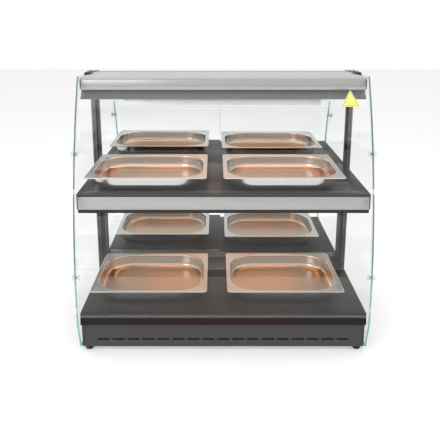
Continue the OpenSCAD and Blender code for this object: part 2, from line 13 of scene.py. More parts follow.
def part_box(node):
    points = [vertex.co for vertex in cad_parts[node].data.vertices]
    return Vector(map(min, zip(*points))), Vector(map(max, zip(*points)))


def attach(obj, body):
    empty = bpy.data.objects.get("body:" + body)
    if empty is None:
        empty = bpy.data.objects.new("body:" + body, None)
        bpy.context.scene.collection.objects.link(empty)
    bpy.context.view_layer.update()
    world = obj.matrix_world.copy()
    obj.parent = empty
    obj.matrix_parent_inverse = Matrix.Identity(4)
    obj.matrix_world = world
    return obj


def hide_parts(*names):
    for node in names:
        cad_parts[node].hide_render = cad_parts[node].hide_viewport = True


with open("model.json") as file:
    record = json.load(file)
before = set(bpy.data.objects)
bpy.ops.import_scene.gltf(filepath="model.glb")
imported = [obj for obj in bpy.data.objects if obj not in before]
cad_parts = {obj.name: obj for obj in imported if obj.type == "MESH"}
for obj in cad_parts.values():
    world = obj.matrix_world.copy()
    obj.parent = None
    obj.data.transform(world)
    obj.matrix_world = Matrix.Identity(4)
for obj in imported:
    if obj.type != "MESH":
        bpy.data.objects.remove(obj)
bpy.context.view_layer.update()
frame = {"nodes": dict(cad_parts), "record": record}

log = logging.getLogger("display_case")

MM = 0.001
Colour = tuple[float, float, float]
Point = tuple[float, float, float]
Number = Union[int, float]
NODES: dict[str, bpy.types.Object] = frame["nodes"]
SLOT_OF: dict[str, str] = {s["node"]: s["material_slot"] for s in frame["record"]["subparts"]}
BODY_OF: dict[str, str] = {
    node: body for body, nodes in frame["record"]["behaviour"]["bodies"].items() for node in nodes
}

# The large front curve that the side glasses, panes and flaps share
CURVE_Y = 1.045
CURVE_Z = 0.1295


class Axis(Enum):
    """The three directions of the object's frame."""

    X = 0
    Y = 1
    Z = 2


def srgb(red: Number, green: Number, blue: Number) -> Colour:
    """Turns 0 to 255 display values into linear colour.

    Args:
        red: Red, 0 to 255.
        green: Green, 0 to 255.
        blue: Blue, 0 to 255.

    Returns:
        The linear colour.
    """
    return tuple(
        v / 12.92 if v <= 0.04045 else ((v + 0.055) / 1.055) ** 2.4
        for v in (red / 255, green / 255, blue / 255)
    )


# ---------------------------------------------------------------- shader building


class Wire:
    """A shader socket that takes Python arithmetic, each operator adding its Math node."""

    def __init__(self, shader: "Shader", socket: bpy.types.NodeSocket) -> None:
        """Keeps the socket and the shader that it belongs to."""
        self.shader = shader
        self.socket = socket

    def math(self, operation: str, *others: Union["Wire", Number]) -> "Wire":
        """Adds one Math node.

        Args:
            operation: The node's operation.
            others: Its further values.

        Returns:
            The node's result.
        """
        values = dict(enumerate((self, *others)))
        return self.shader.node("Math", {"operation": operation}, values).out()

    def __add__(self, other: Union["Wire", Number]) -> "Wire":
        """Returns the sum."""
        return self.math("ADD", other)

    __radd__ = __add__

    def __mul__(self, other: Union["Wire", Number]) -> "Wire":
        """Returns the product."""
        return self.math("MULTIPLY", other)

    __rmul__ = __mul__

    def __sub__(self, other: Union["Wire", Number]) -> "Wire":
        """Returns the difference."""
        return self.math("SUBTRACT", other)

    def __rsub__(self, other: Number) -> "Wire":
        """Returns a number less this value."""
        return self * -1.0 + other

    def __truediv__(self, other: Union["Wire", Number]) -> "Wire":
        """Returns the quotient."""
        return self.math("DIVIDE", other)

    def __gt__(self, other: Union["Wire", Number]) -> "Wire":
        """Returns 1 where this value is the greater."""
        return self.math("GREATER_THAN", other)

    def __lt__(self, other: Union["Wire", Number]) -> "Wire":
        """Returns 1 where this value is the lesser."""
        return self.math("LESS_THAN", other)

    def __pow__(self, other: Number) -> "Wire":
        """Returns the power."""
        return self.math("POWER", other)

    def __abs__(self) -> "Wire":
        """Returns the size without its sign."""
        return self.math("ABSOLUTE")

    def between(self, low: Number, high: Number) -> "Wire":
        """Spreads a range of values over 0 to 1.

        Args:
            low: The value that becomes 0, as everything below it does.
            high: The value that becomes 1, as everything above it does.

        Returns:
            The spread value.
        """
        settings = {"clamp": True}
        values = {"Value": self, "From Min": low, "From Max": high}
        return self.shader.node("MapRange", settings, values).out()


class Box:
    """A node that was just added, with short ways to its outputs."""

    def __init__(self, shader: "Shader", node: bpy.types.Node) -> None:
        """Keeps the node and its shader."""
        self.shader = shader
        self.raw = node

    def out(self, name: Union[str, int] = 0) -> Wire:
        """Returns one output."""
        return Wire(self.shader, self.raw.outputs[name])


class Shader:
    """One material's node tree."""

    def __init__(self, name: str) -> None:
        """Starts an empty material.

        Args:
            name: The material's name.
        """
        self.material = bpy.data.materials.new(name)
        self.material.use_nodes = True
        self.tree = self.material.node_tree
        self.tree.nodes.clear()
        self.output = self.tree.nodes.new("ShaderNodeOutputMaterial")
        self._place: Optional[Wire] = None

    def node(self, kind: str, settings: Optional[dict] = None, values: Optional[dict] = None) -> Box:
        """Adds a node.

        Args:
            kind: The node's type, without its ShaderNode prefix.
            settings: Properties, set first.
            values: Numbers, colours or wires for its inputs, by name or place.

        Returns:
            The node.
        """
        node = self.tree.nodes.new("ShaderNode" + kind)
        for key, value in (settings or {}).items():
            setattr(node, key, value)
        for key, value in (values or {}).items():
            socket = node.inputs[key]
            if isinstance(value, Wire):
                self.tree.links.new(value.socket, socket)
            elif isinstance(value, tuple) and socket.type == "RGBA":
                socket.default_value = (*value[:3], 1.0)
            else:
                socket.default_value = value
        return Box(self, node)

    def place(self) -> Wire:
        """Returns the point on the object, in metres."""
        if self._place is None:
            self._place = self.node("TexCoord").out("Object")
        return self._place

    def along(self, axis: Axis) -> Wire:
        """Returns one coordinate of the point."""
        return self.node("SeparateXYZ", None, {0: self.place()}).out(axis.value)

    def facing(self, axis: Axis) -> Wire:
        """Returns one component of the surface's own normal."""
        normal = self.node("TexCoord").out("Normal")
        return self.node("SeparateXYZ", None, {0: normal}).out(axis.value)

    def noise(self, scale: float, stretch: Point = (1, 1, 1), detail: float = 3.0,
              roughness: float = 0.55) -> Wire:
        """Adds a noise pattern.

        Args:
            scale: Waves per metre.
            stretch: How much finer the pattern is along each axis.
            detail: Octaves.
            roughness: Weight of the fine octaves.

        Returns:
            The noise, about 0 to 1.
        """
        at = self.node("Mapping", None, {"Vector": self.place(), "Scale": stretch}).out()
        values = {"Vector": at, "Scale": scale, "Detail": detail, "Roughness": roughness}
        return self.node("TexNoise", None, values).out("Fac")

    def mix(self, factor: Union[Wire, float], low: Union[Wire, Colour], high: Union[Wire, Colour]) -> Wire:
        """Mixes two colours.

        Args:
            factor: 0 for the first, 1 for the second.
            low: The first colour.
            high: The second colour.

        Returns:
            The mixed colour.
        """
        settings = {"data_type": "RGBA"}
        return self.node("Mix", settings, {0: factor, 6: low, 7: high}).out(2)

    def bump(self, height: Wire, depth: float, strength: float = 1.0) -> Wire:
        """Turns a height pattern into a bent normal.

        Args:
            height: The pattern.
            depth: Height of a full step, in metres.
            strength: Share of the effect.

        Returns:
            The normal.
        """
        values = {"Strength": strength, "Distance": depth, "Height": height}
        return self.node("Bump", None, values).out()

    def surface(self, **values: object) -> Wire:
        """Adds a Principled shader; underscores in the names stand for spaces."""
        named = {key.replace("_", " "): value for key, value in values.items()}
        return self.node("BsdfPrincipled", None, named).out()

    def blend(self, factor: Union[Wire, float], low: Wire, high: Wire) -> Wire:
        """Returns a mix of two shaders."""
        return self.node("MixShader", None, {0: factor, 1: low, 2: high}).out()

    def finish(self, surface: Wire) -> bpy.types.Material:
        """Joins the surface to the output and returns the material."""
        self.tree.links.new(surface.socket, self.output.inputs["Surface"])
        return self.material


# ---------------------------------------------------------------- finishes


@dataclass(frozen=True)
class PowderCoat:
    """Textured paint on sheet metal.

    Attributes:
        name: The material's name.
        colour: The paint's colour.
        roughness: How matt it is.
        grain: Depth of the texture, in metres.
        shine: Strength of its highlights.
        worn: Colour of fine dust, scattered over the paint in small specks.
        painted_shade: Colour of the painted shade over the middle, where the pans keep the side light off, if
            any.
    """

    name: str
    colour: Colour
    roughness: float = 0.5
    grain: float = 0.000005
    shine: float = 0.45
    worn: Colour = (0.3, 0.3, 0.3)
    painted_shade: Optional[Colour] = None

    def build(self) -> bpy.types.Material:
        """Returns the material."""
        s = Shader(self.name)
        cloud = s.noise(9, detail=4)
        fine = s.noise(900, detail=2)
        tint = s.mix(cloud.between(0.3, 0.75) * 0.3, self.colour, tuple(0.72 * c for c in self.colour))
        dust = s.noise(60, detail=5).between(0.58, 0.82) * 0.05
        tint = s.mix(dust, tint, self.worn)
        if self.painted_shade:
            # Painted shade: the middle of the plate is darkened towards a brown-black, standing in for the
            # shade between the pans.
            middle = 1 - abs(s.along(Axis.X)).between(0.1, 0.36)
            tint = s.mix(middle * 0.8, tint, self.painted_shade)
        rough = cloud * 0.12 + fine * 0.08 + (self.roughness - 0.1)
        return s.finish(s.surface(Base_Color=tint, Roughness=rough, Normal=s.bump(fine, self.grain),
                                  Specular_IOR_Level=self.shine))


@dataclass(frozen=True)
class BrushedMetal:
    """Metal with fine drawn lines.

    Attributes:
        name: The material's name.
        colour: The metal's colour.
        axis: The way the lines run.
        roughness: How dull it is.
        depth: Depth of the lines, in metres.
        stain: Strength of the cloudy handling marks.
    """

    name: str
    colour: Colour
    axis: Axis = Axis.X
    roughness: float = 0.3
    depth: float = 0.000004
    stain: float = 0.15

    def build(self) -> bpy.types.Material:
        """Returns the material."""
        s = Shader(self.name)
        stretch = [60.0, 60.0, 60.0]
        stretch[self.axis.value] = 0.8
        lines = s.noise(40, tuple(stretch), detail=3, roughness=0.7)
        cloud = s.noise(14, detail=4)
        dark = tuple(0.8 * c for c in self.colour)
        tint = s.mix(lines.between(0.3, 0.7) * 0.4 + cloud * self.stain, self.colour, dark)
        rough = lines * 0.14 + cloud * self.stain + (self.roughness - 0.12)
        return s.finish(s.surface(Base_Color=tint, Metallic=1.0, Roughness=rough,
                                  Normal=s.bump(lines, self.depth)))


@dataclass(frozen=True)
class PressedSteel:
    """Satin stainless steel of a deep-drawn pan, with draw marks, a few scuffs and a painted warm reflection
    of the lamps on its floor.

    Attributes:
        name: The material's name.
        colour: The steel's colour.
        painted_lamp_reflection: The colour painted on the floor as the reflection of the lamps' warm light.
        floor_top: The height above the pan's underside at which the painted reflection has gone.
        decks: The heights that the pans stand at.
    """

    name: str = "pressed_stainless"
    colour: Colour = (0.62, 0.605, 0.585)
    painted_lamp_reflection: Colour = (0.56, 0.41, 0.30)
    floor_top: float = 0.012
    decks: tuple[float, float] = (0.117, 0.440)

    def build(self) -> bpy.types.Material:
        """Returns the material."""
        s = Shader(self.name)
        lines = s.noise(55, (1, 40, 12), detail=3, roughness=0.65)
        cloud = s.noise(11, detail=4)
        scuffs = s.noise(190, (1, 6, 1), detail=5, roughness=0.7).between(0.6, 0.72)
        tint = s.mix(lines * 0.25 + cloud * 0.2, self.colour, tuple(0.82 * c for c in self.colour))
        # Painted reflection: the up-facing floor near each deck height is tinted warm brown, standing in for
        # the lamps' light reflected there.
        low, high = (1 - abs(s.along(Axis.Z) - deck).between(self.floor_top / 3, self.floor_top)
                     for deck in self.decks)
        tint = s.mix((low + high) * s.facing(Axis.Z).between(0.4, 0.9), tint, self.painted_lamp_reflection)
        flat = abs(s.facing(Axis.Z)).between(0.6, 0.95)
        rough = cloud.between(0.25, 0.8) * 0.06 + lines * 0.06 + scuffs * 0.06 + flat * 0.16 + 0.14
        return s.finish(s.surface(Base_Color=tint, Metallic=1.0, Roughness=rough,
                                  Normal=s.bump(lines + scuffs * 0.4, 0.000003)))


@dataclass(frozen=True)
class Galvanised:
    """Zinc-coated sheet with its spangle."""

    name: str = "galvanised_sheet"

    def build(self) -> bpy.types.Material:
        """Returns the material."""
        s = Shader(self.name)
        cells = s.node("TexVoronoi", None, {"Vector": s.place(), "Scale": 90.0}).out("Color")
        grey = s.node("RGBToBW", None, {0: cells}).out()
        tint = s.mix(grey, (0.46, 0.47, 0.48), (0.68, 0.69, 0.70))
        return s.finish(s.surface(Base_Color=tint, Metallic=0.9, Roughness=grey * 0.2 + 0.32))


@dataclass(frozen=True)
class MirrorGlass:
    """Silvered glass: a mirror to the customer, grey backing paint to the staff.

    Attributes:
        name: The material's name.
        back_y: Where the backing paint starts, in metres.
    """

    name: str
    back_y: float

    def build(self) -> bpy.types.Material:
        """Returns the material."""
        s = Shader(self.name)
        painted = s.along(Axis.Y) > self.back_y
        edge = (abs(s.facing(Axis.Y)) < 0.5) * (1 - painted)
        cloud = s.noise(7, detail=5)
        speck = s.noise(700, detail=2)
        silver = s.mix(cloud * 0.2, (0.86, 0.875, 0.87), (0.80, 0.815, 0.81))
        tint = s.mix(edge, silver, srgb(96, 150, 132))
        tint = s.mix(painted, tint, s.mix(cloud, srgb(104, 108, 112), srgb(92, 96, 100)))
        rough = painted * (0.38 + speck * 0.1) + edge * 0.18 + cloud.between(0.5, 0.9) * 0.03 + 0.015
        metal = (1 - painted) * (1 - edge)
        return s.finish(s.surface(Base_Color=tint, Metallic=metal, Roughness=rough,
                                  Normal=s.bump(speck * painted, 0.000006)))


class PaneShape(Enum):
    """Whether a clear sheet stands flat at the case's side or follows the front curve."""

    SIDE = "side"
    CURVED = "curved"


@dataclass(frozen=True)
class ClearSheet:
    """Clear glass or acrylic, seen through on its faces and coloured at its cut edges.

    Attributes:
        name: The material's name.
        shape: How the sheet lies.
        edge: Colour of the cut edges.
        tint: Colour of what is seen through one face.
        haze: Share of a face that shows fine dust and cleaning marks.
        edge_clear: Share of a cut edge that is seen through.
        pale_foot: How much paler the cut edge looks near the counter.
    """

    name: str
    shape: PaneShape
    edge: Colour
    tint: Colour = (0.992, 0.998, 0.995)
    haze: float = 0.01
    edge_clear: float = 0.12
    pale_foot: float = 2.6

    def edge_mask(self, s: Shader) -> Wire:
        """Returns 1 on the cut edges.

        Args:
            s: The shader under construction.
        """
        if self.shape is PaneShape.SIDE:
            return abs(s.facing(Axis.X)) < 0.6
        out_y = s.along(Axis.Y) - CURVE_Y
        out_z = s.along(Axis.Z) - CURVE_Z
        length = (out_y * out_y + out_z * out_z) ** 0.5
        across = abs((s.facing(Axis.Y) * out_y + s.facing(Axis.Z) * out_z) / length)
        return across < 0.6

    def build(self) -> bpy.types.Material:
        """Returns the material."""
        s = Shader(self.name)
        grazing = s.node("LayerWeight", None, {"Blend": 0.5}).out("Facing")
        streaks = s.noise(26, (1, 5, 2), detail=5, roughness=0.65).between(0.55, 0.8)
        mirror = (grazing ** 5) * 0.22 + 0.022 + streaks * self.haze
        clear = s.node("BsdfTransparent", None, {0: self.tint}).out()
        gloss = s.surface(Base_Color=(1.0, 1.0, 1.0), Metallic=1.0, Roughness=streaks * 0.12 + 0.015)
        face = s.blend(mirror, clear, gloss)
        fine = s.noise(420, detail=2)
        pale = tuple(min(1.0, c * self.pale_foot) for c in self.edge)
        height = s.along(Axis.Z).between(0.20, 0.27)
        cut = s.surface(Base_Color=s.mix(fine * 0.25 + height * 0.75, pale, self.edge),
                        Roughness=fine * 0.15 + 0.12, Coat_Weight=0.4,
                        Normal=s.bump(fine, 0.00003))
        rim = s.blend(self.edge_clear, cut, clear)
        return s.finish(s.blend(self.edge_mask(s), face, rim))


@dataclass(frozen=True)
class Moulded:
    """Moulded plastic or rubber.

    Attributes:
        name: The material's name.
        colour: Its colour.
        roughness: How matt it is.
        grain: Depth of the spark-eroded texture, in metres.
        coat: Clear gloss over it.
        glow: Light that passes through it from a lamp behind, if any.
    """

    name: str
    colour: Colour
    roughness: float = 0.5
    grain: float = 0.000006
    coat: float = 0.0
    glow: float = 0.0

    def build(self) -> bpy.types.Material:
        """Returns the material."""
        s = Shader(self.name)
        fine = s.noise(1300, detail=2)
        cloud = s.noise(45, detail=4)
        tint = s.mix(cloud * 0.5, self.colour, tuple(min(1.0, 0.75 * c + 0.004) for c in self.colour))
        rough = cloud * 0.12 + fine * 0.06 + (self.roughness - 0.08)
        values = {"Base_Color": tint, "Roughness": rough, "Coat_Weight": self.coat,
                  "Normal": s.bump(fine, self.grain)}
        if self.glow:
            values.update(Emission_Color=tint, Emission_Strength=self.glow)
        return s.finish(s.surface(**values))


@dataclass(frozen=True)
class GlowingQuartz:
    """The lamp's tube: orange all along, hotter on the coil in the middle.

    Attributes:
        name: The material's name.
        strength: How bright it is.
    """

    name: str = "glowing_quartz"
    strength: float = 3.0

    def build(self) -> bpy.types.Material:
        """Returns the material."""
        s = Shader(self.name)
        turns = s.node("Math", {"operation": "SINE"}, {0: s.along(Axis.X) * 1500.0}).out()
        hot = turns.between(-0.4, 1.0) * (1 - abs(s.along(Axis.X)).between(0.235, 0.252))
        light = s.mix(hot, (0.9, 0.20, 0.03), (1.0, 0.42, 0.12))
        return s.finish(s.surface(Base_Color=(0.9, 0.5, 0.25), Roughness=0.1, Emission_Color=light,
                                  Emission_Strength=self.strength))


class Finishes:
    """Every finish of the case, by its slot in the part's record, made once each."""

    def __init__(self) -> None:
        """Builds the materials."""
        self.by_slot: dict[str, bpy.types.Material] = {
            "anthracite_paint": PowderCoat("anthracite_paint", srgb(60, 58, 60), 0.5).build(),
            "zinc_sheet": Galvanised().build(),
            "black_paint": PowderCoat("black_paint", srgb(24, 24, 25), 0.45).build(),
            "grey_paint": PowderCoat("grey_paint", srgb(84, 84, 84), 0.45).build(),
            "light_paint": PowderCoat("light_paint", srgb(176, 176, 176), 0.45, 0.000004).build(),
            "brushed_aluminium": BrushedMetal("brushed_aluminium", (0.46, 0.46, 0.455),
                                              roughness=0.34).build(),
            "reflector_aluminium": BrushedMetal("reflector_aluminium", (0.78, 0.775, 0.765),
                                                roughness=0.36).build(),
            "post_aluminium": BrushedMetal("dark_anodised_posts", srgb(84, 84, 86), Axis.Z, 0.42,
                                           stain=0.1).build(),
            "clear_glass": ClearSheet("side_glass", PaneShape.SIDE, srgb(46, 84, 77),
                                      pale_foot=4.5).build(),
            "clear_acrylic": ClearSheet("acrylic_flap", PaneShape.CURVED, srgb(228, 236, 240),
                                        (0.996, 0.997, 0.998), 0.0, 0.9, 1.0).build(),
            "stainless_pan": PressedSteel().build(),
            "black_plastic": Moulded("black_plastic", srgb(36, 36, 37), 0.45).build(),
            "rubber": Moulded("black_rubber", srgb(30, 30, 30), 0.8, 0.00002).build(),
            "soft_clear_pad": Moulded("soft_pad", srgb(206, 210, 208), 0.35, coat=0.5).build(),
            "stainless_fastener": BrushedMetal("stainless_fastener", (0.70, 0.69, 0.68), Axis.Z,
                                               0.26).build(),
            "guard_wire": BrushedMetal("bright_wire", (0.82, 0.82, 0.81), Axis.X, 0.16).build(),
            "quartz_lamp": GlowingQuartz().build(),
            "ceramic": Moulded("steatite", srgb(236, 232, 220), 0.35, coat=0.3).build(),
            "heater_mat": Moulded("silicone_mat", srgb(178, 92, 52), 0.6, 0.00003).build(),
            "mineral_board": Moulded("mineral_board", srgb(222, 218, 204), 0.85, 0.0001).build(),
            "yellow_label": Moulded("yellow_film", srgb(236, 226, 120), 0.35, coat=0.3).build(),
            "red_rocker": Moulded("red_rocker", srgb(196, 24, 18), 0.25, coat=0.6, glow=0.35).build(),
            "green_rocker": Moulded("green_rocker", srgb(22, 140, 62), 0.25, coat=0.6, glow=0.25).build(),
            "thermostat_case": Moulded("thermostat_case", srgb(172, 164, 146), 0.55).build(),
        }
        self.curved_glass = ClearSheet("curved_glass", PaneShape.CURVED, srgb(150, 190, 178),
                                       pale_foot=1.0, edge_clear=0.6).build()
        self.clear_pin = ClearSheet("clear_pin", PaneShape.SIDE, srgb(214, 222, 224), (0.97, 0.98, 0.98), 0.0,
                                    0.75, 1.0).build()
        # The deck and shelf plates: the anthracite paint copied and darkened to stand in for the shade inside
        # the case, with painted shade over the middle between the pans.
        self.shaded_deck_paint = PowderCoat("shaded_deck_paint", srgb(33, 31, 31), 0.36, 0.000004, 0.12,
                                     (0.12, 0.115, 0.11), srgb(40, 27, 22)).build()
        self.upper_mirror = MirrorGlass("upper_mirror", 0.1676).build()
        self.upper_mirror_rear = MirrorGlass("upper_mirror_rear", 0.1786).build()
        self.lower_mirror = MirrorGlass("lower_mirror", 0.1896).build()
        self.lower_mirror_rear = MirrorGlass("lower_mirror_rear", 0.2006).build()
        self.dark_ink = Moulded("dark_ink", srgb(52, 48, 34), 0.4).build()
        self.white_ink = Moulded("white_ink", srgb(232, 232, 228), 0.5).build()
        self.brass = BrushedMetal("brass", srgb(224, 188, 112), Axis.Y, 0.25).build()

    def of(self, node: str) -> bpy.types.Material:
        """Returns the finish of a CAD node's slot."""
        return self.by_slot[SLOT_OF[node]]


# ---------------------------------------------------------------- modelling


class Bench:
    """The modelling tools, each used on one object at a time."""

    @staticmethod
    def clear() -> None:
        """Deselects everything."""
        bpy.ops.object.select_all(action="DESELECT")

    @staticmethod
    def only(piece: bpy.types.Object) -> None:
        """Makes a piece the only selected and active object.

        Args:
            piece: The piece.
        """
        Bench.clear()
        piece.select_set(True)
        bpy.context.view_layer.objects.active = piece

    @staticmethod
    def block(name: str, low: Point, high: Point) -> bpy.types.Object:
        """Adds a block to start a piece from.

        Args:
            name: The piece's name.
            low: Lowest corner, in metres.
            high: Highest corner, in metres.

        Returns:
            The block, with its size and place in its mesh.
        """
        Bench.clear()
        centre = [(a + b) / 2 for a, b in zip(low, high)]
        bpy.ops.mesh.primitive_cube_add(size=1, location=centre)
        piece = bpy.context.active_object
        piece.scale = [b - a for a, b in zip(low, high)]
        return Bench.settle(piece, name)

    @staticmethod
    def turned(name: str, start: Point, axis: Axis, length: float, radius: float,
               sides: int = 40) -> bpy.types.Object:
        """Adds a round bar to start a piece from.

        Args:
            name: The piece's name.
            start: Centre of its first end.
            axis: The way it runs.
            length: Its length; below 0, it runs the other way.
            radius: Its radius.
            sides: Facets round it.

        Returns:
            The bar.
        """
        Bench.clear()
        centre = Vector(start)
        centre[axis.value] += length / 2
        turn = {Axis.X: (0, math.pi / 2, 0), Axis.Y: (math.pi / 2, 0, 0), Axis.Z: (0, 0, 0)}[axis]
        bpy.ops.mesh.primitive_cylinder_add(vertices=sides, radius=radius, depth=abs(length),
                                            location=centre, rotation=turn)
        return Bench.settle(bpy.context.active_object, name)

    @staticmethod
    def settle(piece: bpy.types.Object, name: str) -> bpy.types.Object:
        """Names a new piece and puts its place and size into its mesh.

        Args:
            piece: The piece.
            name: Its name.

        Returns:
            The same piece.
        """
        Bench.only(piece)
        bpy.ops.object.transform_apply(location=True, rotation=True, scale=True)
        piece.name = name
        piece.data.name = name
        return piece

    @staticmethod
    def modify(piece: bpy.types.Object, kind: str, **settings: object) -> None:
        """Adds a modifier and applies it.

        Args:
            piece: The piece.
            kind: The modifier's type.
            settings: Its properties.
        """
        Bench.only(piece)
        modifier = piece.modifiers.new(kind.title(), kind)
        for key, value in settings.items():
            setattr(modifier, key, value)
        bpy.ops.object.modifier_apply(modifier=modifier.name)

    @staticmethod
    def soften(piece: bpy.types.Object, width: float, segments: int = 2, angle: float = 32) -> None:
        """Rounds a piece's sharp edges and smooths its shading.

        Args:
            piece: The piece.
            width: Width of the rounding, in metres.
            segments: Faces across the rounding.
            angle: Sharpest angle that stays smooth, in degrees.
        """
        if width:
            Bench.modify(piece, "BEVEL", width=width, segments=segments, limit_method="ANGLE",
                         angle_limit=math.radians(angle), use_clamp_overlap=True,
                         harden_normals=False)
        Bench.only(piece)
        bpy.ops.object.shade_smooth_by_angle(angle=math.radians(angle))

    @staticmethod
    def pick(piece: bpy.types.Object, test: Callable[[bpy.types.MeshPolygon], bool]) -> None:
        """Selects the faces that pass a test, and nothing else.

        Args:
            piece: The piece, in object mode.
            test: Says whether a face is wanted.
        """
        mesh = piece.data
        for items in (mesh.vertices, mesh.edges):
            for item in items:
                item.select = False
        for face in mesh.polygons:
            face.select = test(face)

    @staticmethod
    def edit(piece: bpy.types.Object, mode: str = "FACE") -> None:
        """Opens a piece in edit mode.

        Args:
            piece: The piece.
            mode: What is selected there: VERT, EDGE or FACE.
        """
        Bench.only(piece)
        bpy.ops.object.mode_set(mode="EDIT")
        bpy.ops.mesh.select_mode(type=mode)

    @staticmethod
    def close() -> None:
        """Leaves edit mode."""
        bpy.ops.object.mode_set(mode="OBJECT")

    @staticmethod
    def inset_step(piece: bpy.types.Object, test: Callable[[bpy.types.MeshPolygon], bool],
                   inset: float, move: Point) -> None:
        """Insets the chosen faces and pushes the inner ones in or out.

        Args:
            piece: The piece.
            test: Says which faces.
            inset: How far the new edge lies inside the old one.
            move: How far the inner faces move.
        """
        Bench.pick(piece, test)
        Bench.edit(piece)
        bpy.ops.mesh.inset(thickness=inset, use_even_offset=True)
        bpy.ops.mesh.extrude_region_move(TRANSFORM_OT_translate={"value": move})
        Bench.close()

    @staticmethod
    def join(name: str, pieces: Sequence[bpy.types.Object]) -> bpy.types.Object:
        """Joins several finished shapes into one piece.

        Args:
            name: The joined piece's name.
            pieces: The shapes.

        Returns:
            The joined piece.
        """
        Bench.only(pieces[0])
        for piece in pieces[1:]:
            piece.select_set(True)
        bpy.ops.object.join()
        pieces[0].name = name
        pieces[0].data.name = name
        return pieces[0]

    @staticmethod
    def copy(piece: bpy.types.Object, name: str, matrix: Matrix) -> bpy.types.Object:
        """Copies a piece with its own mesh.

        Args:
            piece: The piece to copy.
            name: The copy's name.
            matrix: Where the copy goes, from the first piece.

        Returns:
            The copy.
        """
        twin = bpy.data.objects.new(name, piece.data.copy())
        bpy.context.scene.collection.objects.link(twin)
        twin.data.name = name
        twin.data.transform(matrix)
        if matrix.determinant() < 0:
            twin.data.flip_normals()
        return twin

    @staticmethod
    def merged(node: str, name: str) -> bpy.types.Object:
        """Copies a CAD node and joins its loose triangles into clean faces.

        Args:
            node: The CAD node.
            name: The copy's name.

        Returns:
            The copy.
        """
        piece = Bench.copy(NODES[node], name, Matrix.Identity(4))
        piece.data.materials.clear()
        Bench.only(piece)
        bpy.ops.object.mode_set(mode="EDIT")
        bpy.ops.mesh.select_all(action="SELECT")
        bpy.ops.mesh.remove_doubles(threshold=0.000005)
        bpy.ops.mesh.dissolve_limited(angle_limit=math.radians(0.3))
        Bench.close()
        return piece

    @staticmethod
    def rounded_loops(name: str, loops: Sequence[tuple[float, float, float, float]],
                      segments: int = 10) -> bpy.types.Object:
        """Builds a skin through rounded rectangles, one above another.

        Args:
            name: The piece's name.
            loops: Each rectangle's length, width, corner radius and height, in metres.
            segments: Edges in each corner.

        Returns:
            The open skin, its last loop filled.
        """
        Bench.clear()
        spans: list[tuple[int, int]] = []
        piece: Optional[bpy.types.Object] = None
        for length, width, radius, height in loops:
            if piece is None:
                bpy.ops.mesh.primitive_plane_add(size=1, location=(0, 0, 0))
                piece = bpy.context.active_object
                bpy.ops.object.mode_set(mode="EDIT")
            else:
                bpy.ops.mesh.select_all(action="DESELECT")
                bpy.ops.mesh.primitive_plane_add(size=1, location=(0, 0, 0))
            bpy.ops.transform.resize(value=(length, width, 1))
            bpy.ops.transform.translate(value=(0, 0, height))
            bpy.ops.mesh.select_mode(type="VERT")
            bpy.ops.mesh.bevel(offset=radius, segments=segments, affect="VERTICES", clamp_overlap=True)
            bpy.ops.mesh.select_mode(type="FACE")
            bpy.ops.mesh.delete(type="ONLY_FACE")
            piece.update_from_editmode()
            start = spans[-1][1] if spans else 0
            spans.append((start, len(piece.data.vertices)))
        for lower, upper in zip(spans, spans[1:]):
            Bench.close()
            Bench.pick(piece, lambda face: False)
            for edge in piece.data.edges:
                ends = edge.vertices
                edge.select = all(lower[0] <= v < lower[1] for v in ends) or all(
                    upper[0] <= v < upper[1] for v in ends
                )
            for vertex in piece.data.vertices:
                vertex.select = lower[0] <= vertex.index < upper[1]
            bpy.ops.object.mode_set(mode="EDIT")
            bpy.ops.mesh.select_mode(type="EDGE")
            bpy.ops.mesh.bridge_edge_loops()
        Bench.close()
        last = spans[-1]
        Bench.pick(piece, lambda face: False)
        for vertex in piece.data.vertices:
            vertex.select = last[0] <= vertex.index < last[1]
        for edge in piece.data.edges:
            edge.select = all(last[0] <= v < last[1] for v in edge.vertices)
        bpy.ops.object.mode_set(mode="EDIT")
        bpy.ops.mesh.select_mode(type="EDGE")
        bpy.ops.mesh.edge_face_add()
        bpy.ops.mesh.select_all(action="SELECT")
        bpy.ops.mesh.normals_make_consistent(inside=False)
        Bench.close()
        return Bench.settle(piece, name)


